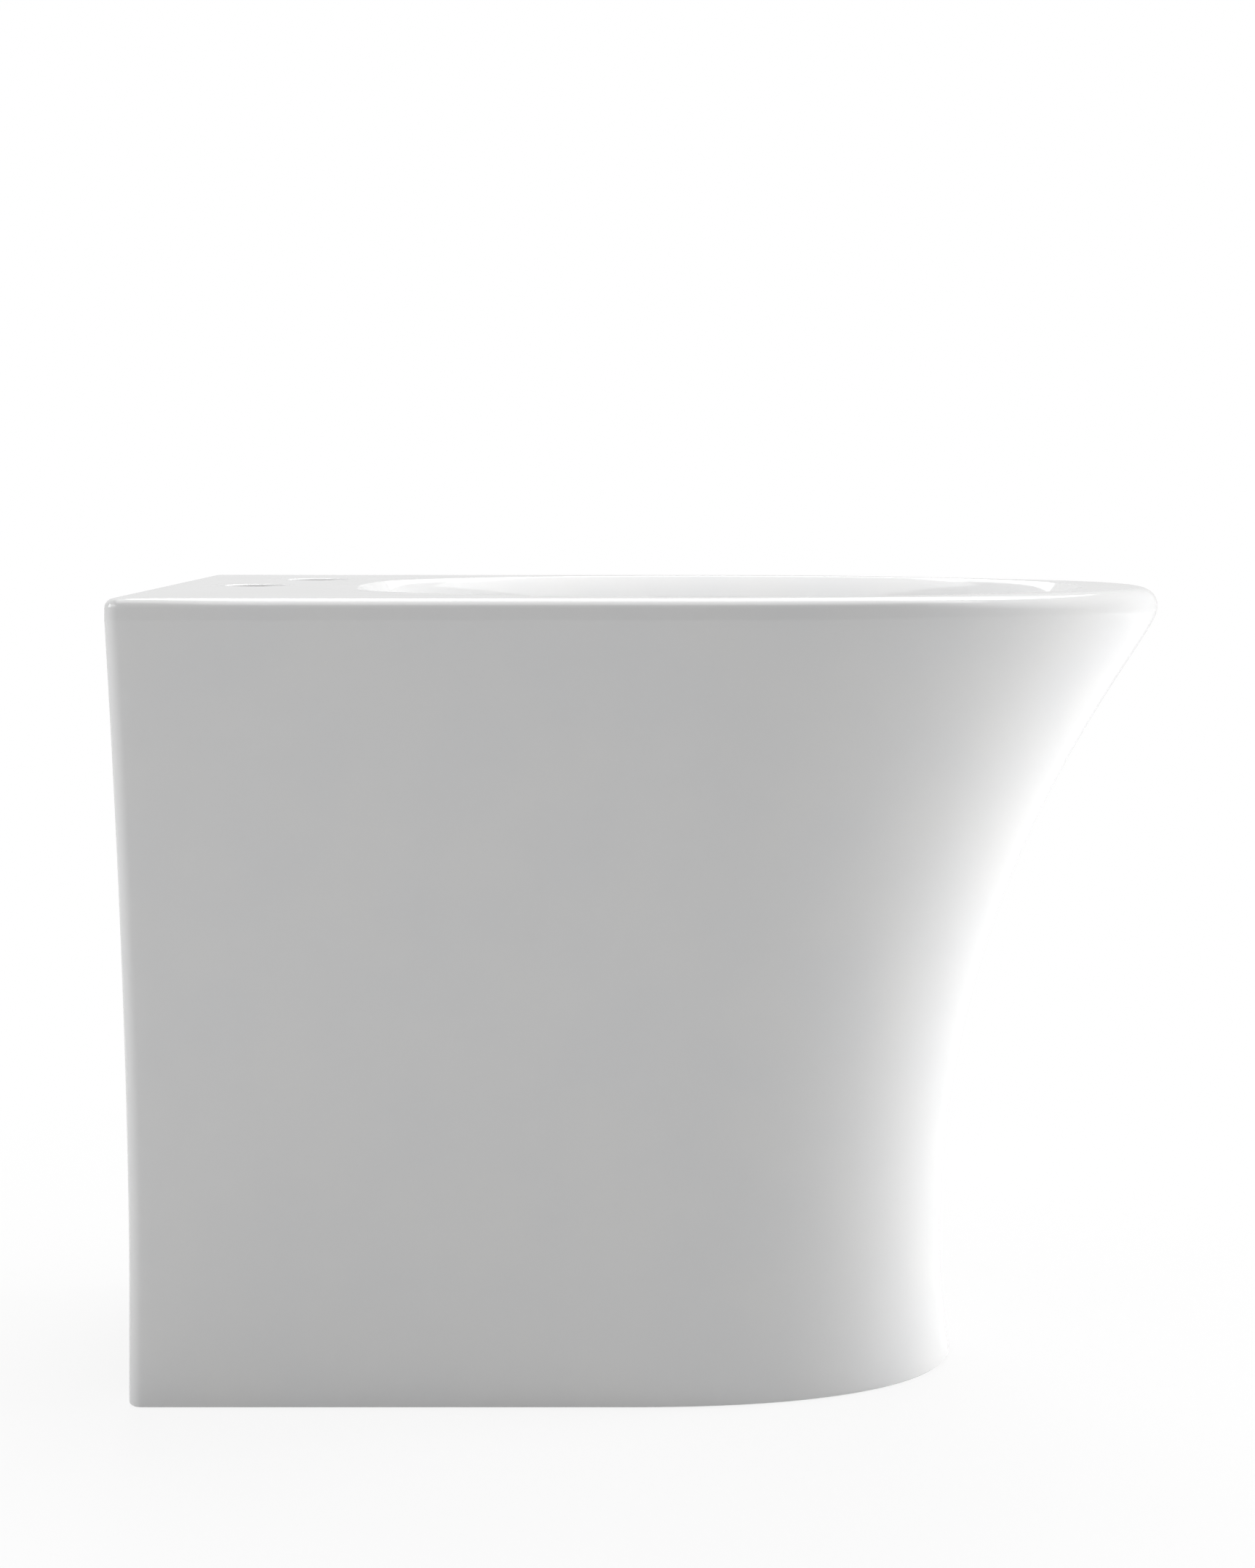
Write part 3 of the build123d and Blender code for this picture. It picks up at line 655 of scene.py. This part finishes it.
# %% [markdown]
# Three effects are shared by several materials, so each is a node group: a slow waviness, which
# every fired glaze and every polished or moulded face has, a fine grain for dull surfaces, and
# dust that settles on faces that look up. A group puts out only heights and masks, and each
# material decides what to do with them.

# %% Shared effects
def effect_group(name, inputs, outputs):
    """Node group with named float sockets and its own object coordinates."""
    group = bpy.data.node_groups.new(name, "ShaderNodeTree")
    for label, value in inputs:
        socket = group.interface.new_socket(label, in_out="INPUT", socket_type="NodeSocketFloat")
        socket.default_value = value
    for label in outputs:
        group.interface.new_socket(label, in_out="OUTPUT", socket_type="NodeSocketFloat")
    enter = group.nodes.new("NodeGroupInput")
    leave = group.nodes.new("NodeGroupOutput")
    place = group.nodes.new("ShaderNodeTexCoord")
    return group, enter, leave, place


def noise_in(tree, place, scale, detail=2.0, roughness=0.5):
    """Noise over the piece's own coordinates. Scale may be a number or a socket."""
    noise = tree.nodes.new("ShaderNodeTexNoise")
    noise.inputs["Detail"].default_value = detail
    noise.inputs["Roughness"].default_value = roughness
    if isinstance(scale, bpy.types.NodeSocket):
        tree.links.new(scale, noise.inputs["Scale"])
    else:
        noise.inputs["Scale"].default_value = scale
    tree.links.new(place.outputs["Object"], noise.inputs["Vector"])
    return noise.outputs["Fac"]


def ramp(tree, value, low, high, dark=0.0, light=1.0):
    """Spread the part of a value between low and high over a range."""
    node = tree.nodes.new("ShaderNodeMapRange")
    tree.links.new(value, node.inputs["Value"])
    node.inputs["From Min"].default_value = low
    node.inputs["From Max"].default_value = high
    node.inputs["To Min"].default_value = dark
    node.inputs["To Max"].default_value = light
    return node.outputs["Result"]


def math_node(tree, operation, first, second):
    node = tree.nodes.new("ShaderNodeMath")
    node.operation = operation
    for socket, value in zip(node.inputs, (first, second)):
        if isinstance(value, bpy.types.NodeSocket):
            tree.links.new(value, socket)
        else:
            socket.default_value = value
    return node.outputs[0]


def make_waviness():
    """Long soft waves with a little shorter ripple on top, as a height and as a mask."""
    group, enter, leave, place = effect_group(
        "slow_waviness", [("Waves per metre", 20.0), ("Ripples per metre", 160.0)], ["Height", "Mask"]
    )
    waves = noise_in(group, place, enter.outputs["Waves per metre"], detail=1.0)
    ripples = noise_in(group, place, enter.outputs["Ripples per metre"], detail=1.0)
    small = math_node(group, "MULTIPLY", ripples, 0.12)
    height = math_node(group, "ADD", waves, small)
    group.links.new(height, leave.inputs["Height"])
    group.links.new(ramp(group, waves, 0.35, 0.65), leave.inputs["Mask"])
    return group


def make_grain():
    """Fine even grain with rarer pits, as a height, and the pits as a mask."""
    group, enter, leave, place = effect_group(
        "fine_grain", [("Grains per metre", 1500.0), ("Pits per metre", 300.0)], ["Height", "Pits"]
    )
    grain = noise_in(group, place, enter.outputs["Grains per metre"], detail=3.0, roughness=0.6)
    pits = group.nodes.new("ShaderNodeTexVoronoi")
    group.links.new(place.outputs["Object"], pits.inputs["Vector"])
    group.links.new(enter.outputs["Pits per metre"], pits.inputs["Scale"])
    pit_mask = ramp(group, pits.outputs["Distance"], 0.22, 0.10)
    height = math_node(group, "SUBTRACT", grain, math_node(group, "MULTIPLY", pit_mask, 0.5))
    group.links.new(height, leave.inputs["Height"])
    group.links.new(pit_mask, leave.inputs["Pits"])
    return group


def make_dust():
    """Dust on faces that look up, broken into patches."""
    group, enter, leave, place = effect_group(
        "settled_dust", [("Patches per metre", 60.0), ("Amount", 0.5)], ["Mask"]
    )
    surface = group.nodes.new("ShaderNodeNewGeometry")
    split = group.nodes.new("ShaderNodeSeparateXYZ")
    group.links.new(surface.outputs["Normal"], split.inputs["Vector"])
    upward = ramp(group, split.outputs["Z"], 0.2, 0.95)
    patches = ramp(group, noise_in(group, place, enter.outputs["Patches per metre"], detail=4.0), 0.3, 0.7)
    mask = math_node(group, "MULTIPLY", math_node(group, "MULTIPLY", upward, patches), enter.outputs["Amount"])
    group.links.new(mask, leave.inputs["Mask"])
    return group


waviness = make_waviness()
grain = make_grain()
dust = make_dust()
print("effects:", [group.name for group in (waviness, grain, dust)])

# %% [markdown]
# A material here is one Principled shader. Values that are the same all over are set on its
# sockets, and only colour, roughness and the bump change over the surface.

# %% Material helpers
def start_material(name, **values):
    """Principled material with its constant values set, and the tree to add to."""
    made = bpy.data.materials.new(name)
    made.use_nodes = True
    shader = made.node_tree.nodes["Principled BSDF"]
    for socket, value in values.items():
        shader.inputs[socket.replace("_", " ")].default_value = value
    return made, made.node_tree, shader


def use_effect(tree, group, **values):
    node = tree.nodes.new("ShaderNodeGroup")
    node.node_tree = group
    for label, value in values.items():
        node.inputs[label.replace("_", " ")].default_value = value
    return node.outputs


def mix_colours(tree, factor, first, second):
    node = tree.nodes.new("ShaderNodeMix")
    node.data_type = "RGBA"
    tree.links.new(factor, node.inputs["Factor"])
    for socket, value in ((node.inputs[6], first), (node.inputs[7], second)):
        if isinstance(value, bpy.types.NodeSocket):
            tree.links.new(value, socket)
        else:
            socket.default_value = (*value, 1.0)
    return node.outputs[2]


def add_bump(tree, shader, height, depth_mm, strength=1.0):
    """Bump from a height between 0 and 1, whose full depth is given in millimetres."""
    bump = tree.nodes.new("ShaderNodeBump")
    bump.inputs["Strength"].default_value = strength
    bump.inputs["Distance"].default_value = depth_mm * MM
    tree.links.new(height, bump.inputs["Height"])
    tree.links.new(bump.outputs["Normal"], shader.inputs["Normal"])


# %% [markdown]
# The glaze is a layer of white glass, fired on. It is very smooth and very even, so the detail
# is small: waves a few centimetres long that bend reflections a little, a faint ripple, and a
# tone that is a touch cooler where the glaze ran thicker. Underneath and inside there is only
# fired clay, dull, a little warmer and sandy to the touch.

# %% Glaze and bare clay
def make_glaze():
    made, tree, shader = start_material("glaze", IOR=1.52, Specular_IOR_Level=0.5)
    waves = use_effect(tree, waviness, Waves_per_metre=22.0, Ripples_per_metre=170.0)
    colour = mix_colours(tree, waves["Mask"], (0.885, 0.885, 0.882), (0.872, 0.875, 0.878))
    tree.links.new(colour, shader.inputs["Base Color"])
    tree.links.new(ramp(tree, waves["Mask"], 0.0, 1.0, 0.035, 0.06), shader.inputs["Roughness"])
    add_bump(tree, shader, waves["Height"], 0.02)
    return made


def make_bare_clay():
    made, tree, shader = start_material("bare_clay", Specular_IOR_Level=0.3)
    grains = use_effect(tree, grain, Grains_per_metre=1400.0, Pits_per_metre=260.0)
    waves = use_effect(tree, waviness, Waves_per_metre=30.0, Ripples_per_metre=200.0)
    tone = mix_colours(tree, waves["Mask"], (0.80, 0.775, 0.735), (0.74, 0.71, 0.665))
    colour = mix_colours(tree, grains["Pits"], tone, (0.60, 0.56, 0.51))
    tree.links.new(colour, shader.inputs["Base Color"])
    tree.links.new(ramp(tree, grains["Height"], 0.3, 0.7, 0.65, 0.85), shader.inputs["Roughness"])
    add_bump(tree, shader, grains["Height"], 0.25)
    return made


glaze = make_glaze()
bare_clay = make_bare_clay()
glazed_body.data.materials.clear()
glazed_body.data.materials.append(glaze)
glazed_body.data.materials.append(bare_clay)
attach(glazed_body, "bidet")
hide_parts("ceramic_body")

# %% [markdown]
# The metal pieces differ mostly in how they were finished. The waste and its plug are chromed:
# a mirror with faint waves and small water marks. The nut and the stem are turned brass, the
# spring is drawn steel, and the floor hooks are cut from zinc-coated sheet, whose crystals show
# as soft patches of grey.

# %% Metals
def make_chrome():
    made, tree, shader = start_material("polished_chrome", Metallic=1.0)
    waves = use_effect(tree, waviness, Waves_per_metre=60.0, Ripples_per_metre=500.0)
    marks = use_effect(tree, grain, Grains_per_metre=700.0, Pits_per_metre=120.0)
    colour = mix_colours(tree, waves["Mask"], (0.80, 0.81, 0.82), (0.74, 0.75, 0.765))
    tree.links.new(colour, shader.inputs["Base Color"])
    tree.links.new(ramp(tree, marks["Pits"], 0.0, 1.0, 0.06, 0.16), shader.inputs["Roughness"])
    add_bump(tree, shader, waves["Height"], 0.02)
    return made


def make_brass():
    made, tree, shader = start_material("turned_brass", Metallic=1.0)
    waves = use_effect(tree, waviness, Waves_per_metre=90.0, Ripples_per_metre=900.0)
    grains = use_effect(tree, grain, Grains_per_metre=2500.0, Pits_per_metre=400.0)
    colour = mix_colours(tree, waves["Mask"], (0.78, 0.59, 0.30), (0.62, 0.44, 0.20))
    tree.links.new(colour, shader.inputs["Base Color"])
    tree.links.new(ramp(tree, grains["Height"], 0.3, 0.7, 0.22, 0.40), shader.inputs["Roughness"])
    add_bump(tree, shader, grains["Height"], 0.03)
    return made


def make_spring_steel():
    made, tree, shader = start_material("drawn_steel", Metallic=1.0)
    waves = use_effect(tree, waviness, Waves_per_metre=150.0, Ripples_per_metre=1200.0)
    colour = mix_colours(tree, waves["Mask"], (0.62, 0.62, 0.63), (0.50, 0.50, 0.52))
    tree.links.new(colour, shader.inputs["Base Color"])
    tree.links.new(ramp(tree, waves["Mask"], 0.0, 1.0, 0.18, 0.32), shader.inputs["Roughness"])
    add_bump(tree, shader, waves["Height"], 0.02)
    return made


def make_galvanised_steel():
    made, tree, shader = start_material("zinc_coated_steel", Metallic=1.0)
    place = tree.nodes.new("ShaderNodeTexCoord")
    crystals = tree.nodes.new("ShaderNodeTexVoronoi")
    crystals.inputs["Scale"].default_value = 140.0
    tree.links.new(place.outputs["Object"], crystals.inputs["Vector"])
    bits = tree.nodes.new("ShaderNodeSeparateColor")
    tree.links.new(crystals.outputs["Color"], bits.inputs["Color"])
    settled = use_effect(tree, dust, Patches_per_metre=70.0, Amount=0.35)
    zinc = mix_colours(tree, bits.outputs["Red"], (0.55, 0.57, 0.60), (0.70, 0.71, 0.73))
    colour = mix_colours(tree, settled["Mask"], zinc, (0.55, 0.53, 0.50))
    tree.links.new(colour, shader.inputs["Base Color"])
    tree.links.new(ramp(tree, bits.outputs["Green"], 0.0, 1.0, 0.34, 0.52), shader.inputs["Roughness"])
    add_bump(tree, shader, bits.outputs["Blue"], 0.02)
    return made


# %% [markdown]
# The trap is moulded plastic with a faint orange peel, the washers are dull black rubber, and
# the latch housing is a hard grey plastic. Dust settles on what looks up.

# %% Plastics and rubber
def make_plastic(name, light, dark, rough_low, rough_high):
    made, tree, shader = start_material(name, IOR=1.5, Specular_IOR_Level=0.45)
    waves = use_effect(tree, waviness, Waves_per_metre=70.0, Ripples_per_metre=1100.0)
    settled = use_effect(tree, dust, Patches_per_metre=80.0, Amount=0.3)
    body = mix_colours(tree, waves["Mask"], light, dark)
    colour = mix_colours(tree, settled["Mask"], body, (0.60, 0.58, 0.54))
    tree.links.new(colour, shader.inputs["Base Color"])
    rough = ramp(tree, waves["Mask"], 0.0, 1.0, rough_low, rough_high)
    tree.links.new(rough, shader.inputs["Roughness"])
    add_bump(tree, shader, waves["Height"], 0.06)
    return made


def make_black_rubber():
    made, tree, shader = start_material("dull_rubber", IOR=1.45, Specular_IOR_Level=0.35)
    grains = use_effect(tree, grain, Grains_per_metre=2200.0, Pits_per_metre=500.0)
    settled = use_effect(tree, dust, Patches_per_metre=90.0, Amount=0.4)
    body = mix_colours(tree, grains["Pits"], (0.030, 0.030, 0.032), (0.016, 0.016, 0.017))
    colour = mix_colours(tree, settled["Mask"], body, (0.20, 0.19, 0.18))
    tree.links.new(colour, shader.inputs["Base Color"])
    tree.links.new(ramp(tree, grains["Height"], 0.3, 0.7, 0.55, 0.75), shader.inputs["Roughness"])
    add_bump(tree, shader, grains["Height"], 0.05)
    return made


# %% Give every carried-over piece its finish
finishes = {
    "chrome": make_chrome(),
    "brass": make_brass(),
    "spring_steel": make_spring_steel(),
    "galvanised_steel": make_galvanised_steel(),
    "white_plastic": make_plastic("moulded_white", (0.80, 0.80, 0.79), (0.76, 0.76, 0.75), 0.26, 0.36),
    "grey_plastic": make_plastic("moulded_grey", (0.30, 0.31, 0.32), (0.25, 0.26, 0.27), 0.35, 0.48),
    "black_rubber": make_black_rubber(),
}


slot_of = {entry["node"]: entry["material_slot"] for entry in frame["record"]["subparts"]}
for node_name, node in frame["nodes"].items():
    finish = finishes.get(slot_of[node_name], glaze)
    node.data.materials.clear()
    node.data.materials.append(finish)
    print(node_name, "is finished in", finish.name)

# %% [markdown]
# The picture was taken from the side with a level camera a little above the deck, so upright
# edges stay upright, and the frame was moved down with a lens shift. The lens length and place
# come from the straight back edge, the length of the deck and the two holes in it.

# %% Camera
photo_height_px = 2156
focal_px = 3778.0
axis_row_px = 666.4
sensor_mm = 36.0
camera_data = bpy.data.cameras.new("camera")
camera_data.sensor_width = sensor_mm
camera_data.lens = focal_px / photo_height_px * sensor_mm
camera_data.shift_y = (axis_row_px - photo_height_px / 2) / photo_height_px
camera_data.clip_start = 0.05
camera = bpy.data.objects.new("camera", camera_data)
camera.location = (-17.0 * MM, -1528.0 * MM, 475.9 * MM)
camera.rotation_euler = (pi / 2, 0.0, 0.0)
bpy.context.scene.collection.objects.link(camera)
bpy.context.scene.camera = camera
print("lens in millimetres:", round(camera_data.lens, 2), "shift:", round(camera_data.shift_y, 4))

# %% [markdown]
# A plain white studio: a large pale floor, soft light from above and from the front of the
# piece, and a bright world that only the camera and reflections see. Diffuse light from the
# world is kept low, so that the side that faces the camera stays light grey.

# %% Floor
glow_in_mirrors = 0.75
shadow_share = 0.15
shadow_reach = (0.30, 0.75)


def white_where_seen(tree, surface, share):
    """Mix of a white glow, for camera and mirror rays, and a lit surface for all other rays."""
    rays = tree.nodes.new("ShaderNodeLightPath")
    mirrored_rays = math_node(tree, "MAXIMUM", rays.outputs["Is Glossy Ray"], rays.outputs["Is Transmission Ray"])
    mirrored_share = math_node(tree, "MULTIPLY", mirrored_rays, glow_in_mirrors)
    seen = math_node(tree, "MAXIMUM", rays.outputs["Is Camera Ray"], mirrored_share)
    factor = math_node(tree, "MULTIPLY", seen, share)
    glow = tree.nodes.new("ShaderNodeEmission")
    glow.inputs["Color"].default_value = (1.0, 1.0, 1.0, 1.0)
    glow.inputs["Strength"].default_value = 1.0
    mixed = tree.nodes.new("ShaderNodeMixShader")
    tree.links.new(factor, mixed.inputs["Fac"])
    tree.links.new(surface, mixed.inputs[1])
    tree.links.new(glow.outputs["Emission"], mixed.inputs[2])
    return mixed.outputs["Shader"]


floor_mesh = bpy.data.meshes.new("floor")
floor_shape = bmesh.new()
bmesh.ops.create_grid(floor_shape, x_segments=8, y_segments=8, size=30.0)
floor_shape.to_mesh(floor_mesh)
floor_shape.free()
floor = link(floor_mesh, "floor")
floor.location.z = -0.0005
floor_paint, floor_tree, floor_shader = start_material("floor_paint", Roughness=0.9, Specular_IOR_Level=0.0)
floor_shader.inputs["Base Color"].default_value = (0.9, 0.9, 0.9, 1.0)
floor_output = floor_tree.nodes["Material Output"]
floor_place = floor_tree.nodes.new("ShaderNodeTexCoord")
floor_distance = floor_tree.nodes.new("ShaderNodeVectorMath")
floor_distance.operation = "LENGTH"
floor_tree.links.new(floor_place.outputs["Object"], floor_distance.inputs[0])
glow_share = ramp(floor_tree, floor_distance.outputs["Value"], *shadow_reach, 1 - shadow_share, 1.0)
floor_surface = white_where_seen(floor_tree, floor_shader.outputs["BSDF"], glow_share)
floor_tree.links.new(floor_surface, floor_output.inputs["Surface"])
floor_mesh.materials.append(floor_paint)

# %% World
world = bpy.data.worlds.new("studio")
world.use_nodes = True
bpy.context.scene.world = world
world_tree = world.node_tree
ambient = world_tree.nodes["Background"]
ambient.inputs["Color"].default_value = (1.0, 1.0, 1.0, 1.0)
ambient.inputs["Strength"].default_value = 0.02
world_surface = white_where_seen(world_tree, ambient.outputs["Background"], 1.0)
world_tree.links.new(world_surface, world_tree.nodes["World Output"].inputs["Surface"])


# %% Lamps
def soft_lamp(name, place, aim, size, power, mirrored_in_glaze=True):
    """Square area lamp that points at a spot. Power is in watts."""
    data = bpy.data.lights.new(name, "AREA")
    data.shape = "SQUARE"
    data.size = size
    data.energy = power
    lamp = bpy.data.objects.new(name, data)
    lamp.location = place
    lamp.rotation_euler = (Vector(aim) - Vector(place)).to_track_quat("-Z", "Y").to_euler()
    lamp.visible_glossy = mirrored_in_glaze
    bpy.context.scene.collection.objects.link(lamp)
    return lamp


def around(turn, lift, reach):
    """A place at a distance from the body, turned from its front and lifted, in degrees."""
    level = reach * cos(radians(lift))
    return level * cos(radians(turn)), level * sin(radians(turn)), 0.25 + reach * sin(radians(lift))


soft_lamp("lamp_above", (0.1, 0.0, 2.4), (0.0, 0.0, 0.2), 2.2, 28.0)
soft_lamp("lamp_above_far", (0.1, 1.5, 2.0), (0.0, 0.0, 0.3), 1.6, 21.0)
soft_lamp("lamp_front", around(0.0, 20.0, 2.6), (0.1, 0.0, 0.2), 1.2, 27.0, False)
soft_lamp("lamp_front_low", around(18.0, 6.0, 2.6), (0.1, 0.0, 0.2), 0.8, 29.0, False)
soft_lamp("lamp_rear_near", (-1.7, -1.5, 1.4), (0.0, 0.0, 0.25), 1.0, 8.0)
soft_lamp("lamp_rear_side", (-2.2, -0.5, 1.2), (-0.1, 0.0, 0.3), 1.0, 14.5)
bpy.context.scene.view_settings.view_transform = "Standard"
